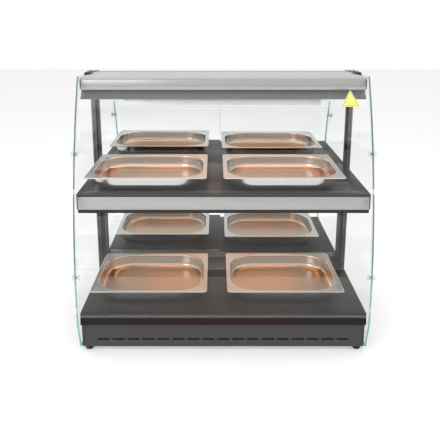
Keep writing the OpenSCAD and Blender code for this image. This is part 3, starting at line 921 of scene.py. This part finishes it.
class Hardware:
    """Small fasteners, each modelled once at the origin with its head towards +Z."""

    @staticmethod
    def cut(piece: bpy.types.Object, cutter: bpy.types.Object) -> None:
        """Cuts one shape out of a piece and removes the cutter."""
        Bench.modify(piece, "BOOLEAN", operation="DIFFERENCE", object=cutter, solver="EXACT")
        bpy.data.objects.remove(cutter)

    @staticmethod
    def cross_screw(radius: float, height: float) -> bpy.types.Object:
        """Models a domed screw head with a cross recess.

        Args:
            radius: The head's radius.
            height: The head's height.

        Returns:
            The head, standing on the origin.
        """
        head = Bench.turned("screw_pattern", (0, 0, 0), Axis.Z, height, radius, 32)
        Bench.soften(head, height * 0.55, 4)
        arm, half = radius * 0.62, radius * 0.12
        floor = height * 0.45
        for low, high in (((-arm, -half, floor), (arm, half, 2 * height)),
                          ((-half, -arm, floor), (half, arm, 2 * height))):
            Hardware.cut(head, Bench.block("cross_cutter", low, high))
        Bench.soften(head, 0.0)
        return head

    @staticmethod
    def socket_bolt(radius: float, height: float) -> bpy.types.Object:
        """Models a flat bolt head with a hexagon socket.

        Args:
            radius: The head's radius.
            height: The head's height.

        Returns:
            The head, standing on the origin.
        """
        head = Bench.turned("bolt_pattern", (0, 0, 0), Axis.Z, height, radius, 48)
        Bench.soften(head, height * 0.3, 3)
        socket = Bench.turned("hexagon_cutter", (0, 0, height * 0.3), Axis.Z, height, radius * 0.42, 6)
        Hardware.cut(head, socket)
        Bench.soften(head, 0.0)
        return head

    @staticmethod
    def scatter(name: str, pattern: bpy.types.Object, places: Sequence[Matrix]) -> bpy.types.Object:
        """Copies a fastener to several places, joins the copies and removes the pattern.

        Args:
            name: The joined piece's name.
            pattern: The fastener.
            places: Where each copy goes.

        Returns:
            The joined piece.
        """
        copies = [Bench.copy(pattern, f"{name}_{i}", place) for i, place in enumerate(places)]
        bpy.data.objects.remove(pattern)
        return Bench.join(name, copies)


class SubAssembly:
    """What every sub-assembly does with its pieces."""

    def __init__(self, finishes: Finishes) -> None:
        """Keeps the finishes."""
        self.finishes = finishes

    def wear(self, piece: bpy.types.Object, material: bpy.types.Material) -> None:
        """Gives a piece one material."""
        piece.data.materials.clear()
        piece.data.materials.append(material)

    def carry(self, *nodes: str) -> None:
        """Shows CAD nodes as they are, in their slots' finishes."""
        for node in nodes:
            self.wear(NODES[node], self.finishes.of(node))
            log.info("carried %s", node)

    def add(self, piece: bpy.types.Object, body: str, slot: str,
            material: Optional[bpy.types.Material] = None, replaces: Iterable[str] = ()) -> bpy.types.Object:
        """Hands a finished piece over.

        Args:
            piece: The piece.
            body: The body that it moves with.
            slot: The record's material slot.
            material: Its material, or None for the slot's.
            replaces: The CAD nodes that it stands for.

        Returns:
            The piece.
        """
        if material or not piece.data.materials:
            self.wear(piece, material or self.finishes.by_slot[slot])
        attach(piece, body)
        if replaces:
            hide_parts(*replaces)
        log.info("made %s on %s, %d faces", piece.name, body, len(piece.data.polygons))
        return piece

    def refine(self, node: str, width: float, segments: int = 2, angle: float = 32,
               material: Optional[bpy.types.Material] = None) -> bpy.types.Object:
        """Replaces a CAD node by a clean copy with rounded edges.

        Args:
            node: The CAD node.
            width: Width of the rounding, in metres.
            segments: Faces across the rounding.
            angle: Sharpest angle that stays smooth, in degrees.
            material: Its material, or None for the slot's.

        Returns:
            The new piece.
        """
        piece = Bench.merged(node, node + "_visual")
        Bench.soften(piece, width, segments, angle)
        return self.add(piece, BODY_OF[node], SLOT_OF[node], material, (node,))


@dataclass
class Base(SubAssembly):
    """Housing, deck, feet and what the base holds.

    Attributes:
        finishes: The finishes.
        edge: Rounding of the folded sheet's edges.
    """

    finishes: Finishes
    edge: float = 0.0006

    def build(self) -> None:
        """Makes the base's pieces."""
        self.refine("base_housing", self.edge)
        self.refine("deck_plate", self.edge, material=self.finishes.shaded_deck_paint)
        self.refine("bottom_plate", 0.0)
        self.refine("rubber_feet", 0.0006)
        self.carry("deck_heater", "insulation_board")


@dataclass
class SideGlasses(SubAssembly):
    """The two side glasses with their bolts and clips.

    Attributes:
        finishes: The finishes.
        ground_edge: Width of the glasses' ground edges.
        outer_x: The right glass's outer face.
        bolt_y: Places of a glass's two bolts along its foot.
        bolt_z: The bolts' height.
        washer: Thickness of a washer.
        washer_radius: Radius of a washer.
        head: Radius and height of a bolt's head.
        shank: Radius and length of a bolt's shank.
    """

    finishes: Finishes
    ground_edge: float = 0.0006
    outer_x: float = 0.389
    bolt_y: tuple[float, float] = (-0.120, 0.110)
    bolt_z: float = 0.055
    washer: float = 0.0006
    washer_radius: float = 0.0092
    head: tuple[float, float] = (0.008, 0.0024)
    shank: tuple[float, float] = (0.003, 0.017)

    def build(self) -> None:
        """Makes the side glasses' pieces."""
        for side in ("left", "right"):
            self.refine(f"{side}_side_glass", self.ground_edge, 1)
        self.bolts()
        self.refine("glass_top_clips", 0.0006)

    def outward(self, lift: float) -> list[Matrix]:
        """Finds the places of the four bolts, each turned to face away from the case.

        Args:
            lift: How far outside the glass a bolt's part starts.

        Returns:
            The four places.
        """
        places = []
        for side in (1, -1):
            turn = Matrix.Rotation(side * math.pi / 2, 4, "Y")
            for y in self.bolt_y:
                places.append(Matrix.Translation((side * (self.outer_x + lift), y, self.bolt_z)) @ turn)
        return places

    def bolts(self) -> None:
        """Makes the bolts with their rubber washers."""
        node = "glass_bolts"
        heads = Hardware.scatter("glass_bolt_heads", Hardware.socket_bolt(*self.head),
                                 self.outward(self.washer))
        self.add(heads, BODY_OF[node], SLOT_OF[node], None, (node,))
        radius, length = self.shank
        shank = Bench.turned("shank_pattern", (0, 0, -length), Axis.Z, length, radius, 24)
        Bench.soften(shank, 0.0004)
        shanks = Hardware.scatter("glass_bolt_shanks", shank, self.outward(0.0))
        self.add(shanks, BODY_OF[node], SLOT_OF[node])
        ring = Bench.turned("washer_pattern", (0, 0, 0), Axis.Z, self.washer, self.washer_radius, 40)
        Bench.soften(ring, 0.0002)
        self.add(Hardware.scatter("glass_bolt_washers", ring, self.outward(0.0)), BODY_OF[node], "rubber")


@dataclass
class Shelf(SubAssembly):
    """The middle shelf."""

    finishes: Finishes

    def build(self) -> None:
        """Makes the shelf's pieces."""
        self.refine("shelf_plate", 0.0005, material=self.finishes.shaded_deck_paint)
        self.refine("shelf_housing", 0.0005)
        self.refine("shelf_front_profile", 0.0005)
        self.refine("shelf_end_caps", 0.0005)


@dataclass
class Roof(SubAssembly):
    """The roof with its band and dark strip.

    Attributes:
        finishes: The finishes.
        screw_x: Places of the four screws along the roof's rear edge.
        screw: Radius and height of a screw's head.
    """

    finishes: Finishes
    screw_x: tuple[float, ...] = (-0.290, -0.058, 0.058, 0.290)
    screw: tuple[float, float] = (0.0035, 0.0022)

    def build(self) -> None:
        """Makes the roof's pieces."""
        self.refine("roof_panel", 0.0008)
        self.refine("roof_housing", 0.0005)
        self.refine("roof_front_profile", 0.0006)
        self.refine("roof_end_caps", 0.0005)
        self.refine("roof_fascia", 0.0005)
        node = "roof_screws"
        low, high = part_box(node)
        places = [Matrix.Translation((x, (low[1] + high[1]) / 2, low[2])) for x in self.screw_x]
        screws = Hardware.scatter("roof_screw_heads", Hardware.cross_screw(*self.screw), places)
        self.add(screws, BODY_OF[node], SLOT_OF[node], None, (node,))


@dataclass
class HeatLamps(SubAssembly):
    """The two lamps with reflectors, guards and holders.

    Attributes:
        finishes: The finishes.
        collar_inset: How far a collar starts from the tube's end.
        collar_length: A collar's length.
        collar_radius: A collar's radius.
    """

    finishes: Finishes
    collar_inset: float = 0.021
    collar_length: float = 0.0115
    collar_radius: float = 0.0062

    def build(self) -> None:
        """Makes the lamps' pieces."""
        for tier in ("upper", "lower"):
            self.refine(f"{tier}_reflector", 0.0004)
            self.refine(f"{tier}_lamp_tube", 0.0)
            self.collars(tier)
            self.refine(f"{tier}_lamp_guard", 0.0)
        self.refine("lamp_holders", 0.0008)

    def collars(self, tier: str) -> None:
        """Makes the metal collars at a lamp tube's ends.

        Args:
            tier: The lamp's tier.
        """
        low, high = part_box(f"{tier}_lamp_tube")
        y, z = (low[1] + high[1]) / 2, (low[2] + high[2]) / 2
        ends = []
        for side in (-1, 1):
            start = (side * (high[0] - self.collar_inset), y, z)
            collar = Bench.turned("collar", start, Axis.X, side * self.collar_length, self.collar_radius, 36)
            Bench.inset_step(collar, lambda face: abs(face.normal.x) > 0.9, 0.0009, (0, 0, 0))
            Bench.soften(collar, 0.0006, 3)
            ends.append(collar)
        self.add(Bench.join(f"{tier}_lamp_collars", ends), "case", "stainless_fastener")


@dataclass
class FrontPanes(SubAssembly):
    """The curved panes, the flaps that hang on the side glasses, and the label.

    Attributes:
        finishes: The finishes.
        label_margin: How far the label's printed line sits in from its edge.
        label_line: Width of the printed line.
    """

    finishes: Finishes
    label_margin: float = 0.0022
    label_line: float = 0.0008

    def build(self) -> None:
        """Makes the front's pieces."""
        for tier in ("upper", "lower"):
            self.refine(f"{tier}_front_glass", 0.0004, 1, material=self.finishes.curved_glass)
            self.refine(f"{tier}_flap", 0.0, 1)
        self.refine("pane_clips", 0.0)
        self.refine("flap_pivot_pins", 0.0004, material=self.finishes.clear_pin)
        self.refine("flap_stop_pads", 0.0)
        self.label()

    def label(self) -> None:
        """Makes the plain warning triangle with its printed line."""
        node = "hot_surface_label"
        piece = Bench.merged(node, node + "_visual")
        self.wear(piece, self.finishes.of(node))
        piece.data.materials.append(self.finishes.dark_ink)
        faces = piece.data.polygons
        front = min(faces, key=lambda face: face.normal.y * face.area).normal.copy()
        largest = max(face.area for face in faces)
        for inset, ink in ((self.label_margin, False), (self.label_line, True)):
            Bench.pick(piece, lambda face: face.normal.dot(front) > 0.99 and face.area > 0.5 * largest)
            Bench.edit(piece)
            bpy.ops.mesh.inset(thickness=inset, use_even_offset=True)
            Bench.close()
            if ink:
                inner = max((f for f in piece.data.polygons if f.normal.dot(front) > 0.99),
                            key=lambda face: face.area)
                ring = {tuple(sorted(key)) for key in inner.edge_keys}
                for face in piece.data.polygons:
                    if face.index != inner.index and any(tuple(sorted(k)) in ring for k in face.edge_keys):
                        face.material_index = 1
        self.add(piece, BODY_OF[node], SLOT_OF[node], None, (node,))


@dataclass
class RearFrame(SubAssembly):
    """Posts and rails at the staff side."""

    finishes: Finishes

    def build(self) -> None:
        """Makes the rear frame's pieces."""
        for side in ("left", "right"):
            self.refine(f"{side}_rear_post", 0.0005)
        for rail in ("top", "middle", "bottom"):
            self.refine(f"rear_{rail}_rail", 0.0004)


@dataclass
class SlidingDoors(SubAssembly):
    """Four mirrored doors with their finger pulls."""

    finishes: Finishes

    def build(self) -> None:
        """Makes the doors."""
        mirrors = {
            "upper_right": self.finishes.upper_mirror, "upper_left": self.finishes.upper_mirror_rear,
            "lower_right": self.finishes.lower_mirror, "lower_left": self.finishes.lower_mirror_rear,
        }
        for place, mirror in mirrors.items():
            self.refine(f"{place}_door", 0.0004, 1, material=mirror)
            self.refine(f"{place}_pull", 0.0005)


@dataclass
class FoodPans(SubAssembly):
    """Four pressed pans, modelled once.

    Attributes:
        finishes: The finishes.
        length: Length over the rim.
        width: Width over the rim.
        depth: Height of the rim's top above the pan's underside.
        gauge: Thickness of the steel.
        profile: From the rolled rim to the bottom: how far each loop lies inside the rim's
            edge, its height below the rim's top, and its corner radius, in millimetres.
    """

    finishes: Finishes
    length: float = 0.325
    width: float = 0.265
    depth: float = 0.040
    gauge: float = 0.0008
    profile: tuple[tuple[float, float, float], ...] = (
        (2.2, 3.6, 8.0), (1.2, 3.4, 9.0), (0.9, 2.4, 9.5), (1.1, 1.5, 9.5), (1.9, 0.9, 9.5),
        (3.2, 0.8, 9.5), (4.6, 1.2, 10.0), (6.2, 1.8, 10.5), (10.8, 1.9, 71.0), (12.2, 2.3, 73.0),
        (13.1, 3.3, 74.0), (13.5, 5.0, 74.5), (13.7, 8.0, 74.5), (14.3, 22.0, 74.0),
        (15.0, 30.0, 73.0), (16.4, 33.4, 71.5), (19.2, 36.4, 68.5), (23.6, 38.4, 64.0),
        (30.0, 39.1, 59.0), (60.0, 38.9, 36.0),
    )

    def model(self) -> bpy.types.Object:
        """Returns one pan, standing on the origin."""
        loops = [
            (self.length - 2 * inset * MM, self.width - 2 * inset * MM, radius * MM, self.depth - drop * MM)
            for inset, drop, radius in self.profile
        ]
        pan = Bench.rounded_loops("pan_pattern", loops)
        top = max(pan.data.polygons, key=lambda face: face.area)
        if top.normal.z < 0:
            pan.data.flip_normals()
        Bench.modify(pan, "SOLIDIFY", thickness=self.gauge, offset=-1.0, use_even_offset=True)
        Bench.only(pan)
        bpy.ops.object.shade_smooth_by_angle(angle=math.radians(50))
        return pan

    def build(self) -> None:
        """Makes the four pans."""
        pattern = self.model()
        for place in ("upper_left", "upper_right", "lower_left", "lower_right"):
            node = f"{place}_pan"
            low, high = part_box(node)
            at = Vector(((low[0] + high[0]) / 2, (low[1] + high[1]) / 2, low[2]))
            pan = Bench.copy(pattern, node + "_visual", Matrix.Translation(at))
            self.add(pan, BODY_OF[node], SLOT_OF[node], None, (node,))
        bpy.data.objects.remove(pattern)


@dataclass
class Controls(SubAssembly):
    """The control panel on the staff side.

    Attributes:
        finishes: The finishes.
        knob_at: The knob's centre in X and Z.
        panel_y: The panel's outer face.
        inlet_x: The inlet's centre.
        dots: How many dots the scale has.
        sweep: How far the knob turns, in degrees, clockwise from its pointer's place at the top.
        dot_ring: The scale's radius.
        skirt: Radius and height of the knob's skirt.
        grip_radius: Radius of the knob's ribbed grip.
        ribs: How many ribs the grip has.
        bore: Radius and depth of the hole for the thermostat's spindle.
        screw: Radius and height of a panel screw's head.
        screw_inset: How far the screws sit in from the panel's edges.
        pins: Each inlet pin's place from the inlet's centre, across and up.
        pin: Half the width and half the height of a pin.
        pin_reach: Where a pin starts and ends in Y.
    """

    finishes: Finishes
    knob_at: tuple[float, float] = (0.130, 0.060)
    panel_y: float = 0.2075
    inlet_x: float = 0.303
    dots: int = 10
    sweep: float = 270.0
    dot_ring: float = 0.0235
    skirt: tuple[float, float] = (0.019, 0.004)
    grip_radius: float = 0.0143
    ribs: int = 20
    bore: tuple[float, float] = (0.00308, 0.0105)
    screw: tuple[float, float] = (0.0028, 0.0016)
    screw_inset: float = 0.006
    pins: tuple[tuple[float, float], ...] = ((-0.007, -0.002), (0.0, 0.002), (0.007, -0.002))
    pin: tuple[float, float] = (0.0011, 0.0021)
    pin_reach: tuple[float, float] = (0.1934, 0.2037)

    def build(self) -> None:
        """Makes the controls."""
        self.refine("control_panel", 0.0004)
        self.knob()
        self.scale()
        self.panel_screws()
        self.inlet_pins()
        self.refine("thermostat_body", 0.0008)
        self.refine("power_rocker", 0.0004)
        self.refine("lamp_rocker", 0.0004)
        self.refine("switch_frames", 0.0005)
        self.refine("power_inlet", 0.0005)
        self.refine("terminal_block", 0.0005)

    def knob(self) -> None:
        """Makes the ribbed knob with its white pointer."""
        node = "thermostat_knob"
        low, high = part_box(node)
        x, z = self.knob_at
        skirt_radius, skirt_height = self.skirt
        skirt = Bench.turned("skirt", (x, low[1], z), Axis.Y, skirt_height, skirt_radius, 64)
        Bench.soften(skirt, 0.0012, 3)
        grip_y = low[1] + skirt_height - 0.0002
        facets = 3 * self.ribs
        grip = Bench.turned("grip", (x, grip_y, z), Axis.Y, high[1] - grip_y, self.grip_radius, facets)
        Bench.pick(grip, lambda face: abs(face.normal.y) < 0.5 and int(
            (math.atan2(face.normal.z, face.normal.x) + math.pi) / (math.tau / facets)) % 3 != 0)
        Bench.edit(grip)
        bpy.ops.mesh.inset(thickness=0.00012, depth=0.0006, use_even_offset=True)
        Bench.close()
        Bench.inset_step(grip, lambda face: face.normal.y > 0.9 and face.area > 1e-4, 0.0022, (0, -0.0006, 0))
        Bench.soften(grip, 0.0004, 2)
        pointer = Bench.block("pointer", (x - 0.0009, high[1] - 0.0012, z + 0.004),
                              (x + 0.0009, high[1] - 0.0001, z + 0.0135))
        Bench.soften(pointer, 0.0003)
        bore_radius, bore_depth = self.bore
        clear = 0.001
        for piece in (skirt, grip):
            bore = Bench.turned("bore", (x, low[1] - clear, z), Axis.Y, bore_depth + clear, bore_radius, 32)
            Hardware.cut(piece, bore)
            self.wear(piece, self.finishes.of(node))
        self.wear(pointer, self.finishes.white_ink)
        self.add(Bench.join(node + "_visual", [skirt, grip, pointer]), BODY_OF[node], SLOT_OF[node], None,
                 (node,))

    def scale(self) -> None:
        """Makes the printed dots round the knob, from off at the top clockwise, growing towards hot."""
        x, z = self.knob_at
        dots = []
        for i in range(self.dots):
            angle = math.radians(90 - self.sweep * i / (self.dots - 1))
            at = (x - self.dot_ring * math.cos(angle), self.panel_y, z + self.dot_ring * math.sin(angle))
            dot = Bench.turned("dot", at, Axis.Y, 0.0002, 0.0006 + 0.00008 * i, 20)
            Bench.soften(dot, 0.00005, 1)
            dots.append(dot)
        self.add(Bench.join("thermostat_scale", dots), "case", "light_paint", self.finishes.white_ink)

    def panel_screws(self) -> None:
        """Makes the screws in the panel's corners."""
        low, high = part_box("control_panel")
        turn = Matrix.Rotation(-math.pi / 2, 4, "X")
        places = [
            Matrix.Translation((x, self.panel_y, z)) @ turn
            for x in (low[0] + self.screw_inset, high[0] - self.screw_inset)
            for z in (low[2] + self.screw_inset, high[2] - self.screw_inset)
        ]
        screws = Hardware.scatter("panel_screws", Hardware.cross_screw(*self.screw), places)
        self.add(screws, "case", "stainless_fastener")

    def inlet_pins(self) -> None:
        """Makes the three flat pins in the inlet."""
        pins = []
        half_width, half_height = self.pin
        inner_y, outer_y = self.pin_reach
        for across, up in self.pins:
            x, z = self.inlet_x + across, self.knob_at[1] + up
            pin = Bench.block("pin", (x - half_width, inner_y, z - half_height),
                              (x + half_width, outer_y, z + half_height))
            Bench.soften(pin, 0.0005, 2)
            pins.append(pin)
        self.add(Bench.join("inlet_pins", pins), "case", "stainless_fastener", self.finishes.brass)


# ---------------------------------------------------------------- studio


@dataclass
class SoftLight:
    """One area light.

    Attributes:
        name: The light's name.
        at: Where it hangs.
        toward: The point it faces.
        size: Its width and height.
        power: Its power, in watts.
        colour: Its colour.
    """

    name: str
    at: Point
    toward: Point
    size: tuple[float, float]
    power: float
    colour: Colour = (1.0, 1.0, 1.0)

    def hang(self) -> bpy.types.Object:
        """Makes the light.

        Returns:
            The light's object, which the camera doesn't see.
        """
        lamp = bpy.data.lights.new(self.name, "AREA")
        lamp.shape = "RECTANGLE"
        lamp.size, lamp.size_y = self.size
        lamp.energy = self.power
        lamp.color = self.colour
        holder = bpy.data.objects.new(self.name, lamp)
        bpy.context.scene.collection.objects.link(holder)
        holder.location = self.at
        aim = Vector(self.toward) - Vector(self.at)
        holder.rotation_euler = aim.to_track_quat("-Z", "Y").to_euler()
        holder.visible_camera = False
        return holder


@dataclass
class Studio:
    """Camera, pale floor, white surround and soft lights.

    Attributes:
        eye: The camera's place.
        pitch: How far it looks down, in radians.
        focal: Focal length as a share of the picture's width.
        shift: The lens's shift across and up, as a share of the picture's width.
        warm: Colour of the lamps' light.
        glow: Colour of the warm light that comes back from the surfaces above each tier.
        lamp_y: Where the lamps hang.
        lamp_heights: How high each tier's light starts.
        strip: Width and depth of the light under a lamp.
        strip_power: Its power, in watts.
        ceiling: Width and depth of the warm light over a tier.
        ceiling_power: Its power, in watts.
        ceiling_rise: How far it hangs above the lamp's light.
        sides_up_to: How far up, from 0 to 1, the surround keeps its full light.
        top_from: From how far up it has only its light overhead.
        sides_light: Its full light.
        top_light: Its light overhead.
    """

    eye: Point = (-0.0214, -1.5961, 0.9000)
    pitch: float = 0.2400
    focal: float = 1.314545
    shift: tuple[float, float] = (0.010636, -0.15)
    warm: Colour = (1.0, 0.46, 0.17)
    glow: Colour = (1.0, 0.64, 0.38)
    lamp_y: float = 0.050
    lamp_heights: dict[str, float] = field(default_factory=lambda: {"upper": 0.640, "lower": 0.341})
    strip: tuple[float, float] = (0.54, 0.07)
    strip_power: float = 0.22
    ceiling: tuple[float, float] = (0.72, 0.27)
    ceiling_power: float = 0.25
    ceiling_rise: float = 0.004
    sides_up_to: float = 0.35
    top_from: float = 0.95
    sides_light: float = 1.03
    top_light: float = 0.5

    def camera(self) -> None:
        """Sets the camera."""
        data = bpy.data.cameras.new("camera")
        data.sensor_width = 36.0
        data.lens = self.focal * data.sensor_width
        data.shift_x, data.shift_y = self.shift
        data.clip_start, data.clip_end = 0.05, 60.0
        eye = bpy.data.objects.new("camera", data)
        bpy.context.scene.collection.objects.link(eye)
        eye.location = self.eye
        eye.rotation_euler = (math.pi / 2 - self.pitch, 0.0, 0.0)
        bpy.context.scene.camera = eye

    def floor(self) -> None:
        """Lays the floor."""
        Bench.clear()
        bpy.ops.mesh.primitive_plane_add(size=16, location=(0, 0, 0))
        plane = bpy.context.active_object
        plane.name = "studio_floor"
        s = Shader("studio_floor")
        cloud = s.noise(3, detail=2)
        tint = s.mix(cloud, (0.93, 0.93, 0.93), (0.90, 0.90, 0.90))
        plane.data.materials.append(s.finish(s.surface(
            Base_Color=tint, Roughness=0.7, Emission_Color=(1.0, 1.0, 1.0), Emission_Strength=0.22)))

    def surround(self) -> None:
        """Fills the surround with white light that fades overhead."""
        world = bpy.data.worlds.new("white_surround")
        bpy.context.scene.world = world
        world.use_nodes = True
        tree = world.node_tree
        back = tree.nodes["Background"]
        back.inputs["Color"].default_value = (1.0, 1.0, 1.0, 1.0)
        where = tree.nodes.new("ShaderNodeTexCoord")
        parts = tree.nodes.new("ShaderNodeSeparateXYZ")
        fade = tree.nodes.new("ShaderNodeMapRange")
        fade.inputs["From Min"].default_value = self.sides_up_to
        fade.inputs["From Max"].default_value = self.top_from
        fade.inputs["To Min"].default_value = self.sides_light
        fade.inputs["To Max"].default_value = self.top_light
        tree.links.new(where.outputs["Generated"], parts.inputs[0])
        tree.links.new(parts.outputs[2], fade.inputs["Value"])
        tree.links.new(fade.outputs[0], back.inputs["Strength"])
        bpy.context.scene.view_settings.view_transform = "Standard"

    def build(self) -> None:
        """Sets everything up."""
        self.camera()
        self.floor()
        self.surround()
        lights = [
            SoftLight("overhead", (0.0, -0.5, 2.4), (0.0, 0.0, 0.3), (3.0, 2.6), 30.0),
            SoftLight("front_left", (-1.6, -2.2, 1.5), (0.0, 0.0, 0.35), (1.2, 1.2), 10.0),
        ]
        for tier, height in self.lamp_heights.items():
            lamp = (0.0, self.lamp_y, height)
            below = (0.0, self.lamp_y, 0.0)
            over = (0.0, 0.0, height + self.ceiling_rise)
            lights += [
                SoftLight(f"{tier}_lamp_light", lamp, below, self.strip, self.strip_power, self.warm),
                SoftLight(f"{tier}_glow", over, (0.0, 0.0, 0.0), self.ceiling, self.ceiling_power, self.glow),
            ]
        for light in lights:
            light.hang()


def main() -> None:
    """Builds the studio and every sub-assembly."""
    logging.basicConfig(level=logging.INFO, format="%(message)s")
    Studio().build()
    finishes = Finishes()
    for part in (Base, SideGlasses, Shelf, Roof, HeatLamps, FrontPanes, RearFrame, SlidingDoors,
                 FoodPans, Controls):
        part(finishes).build()
        log.info("built %s", part.__name__)
    Bench.clear()
    bpy.context.view_layer.update()


if __name__ == "__main__":
    main()
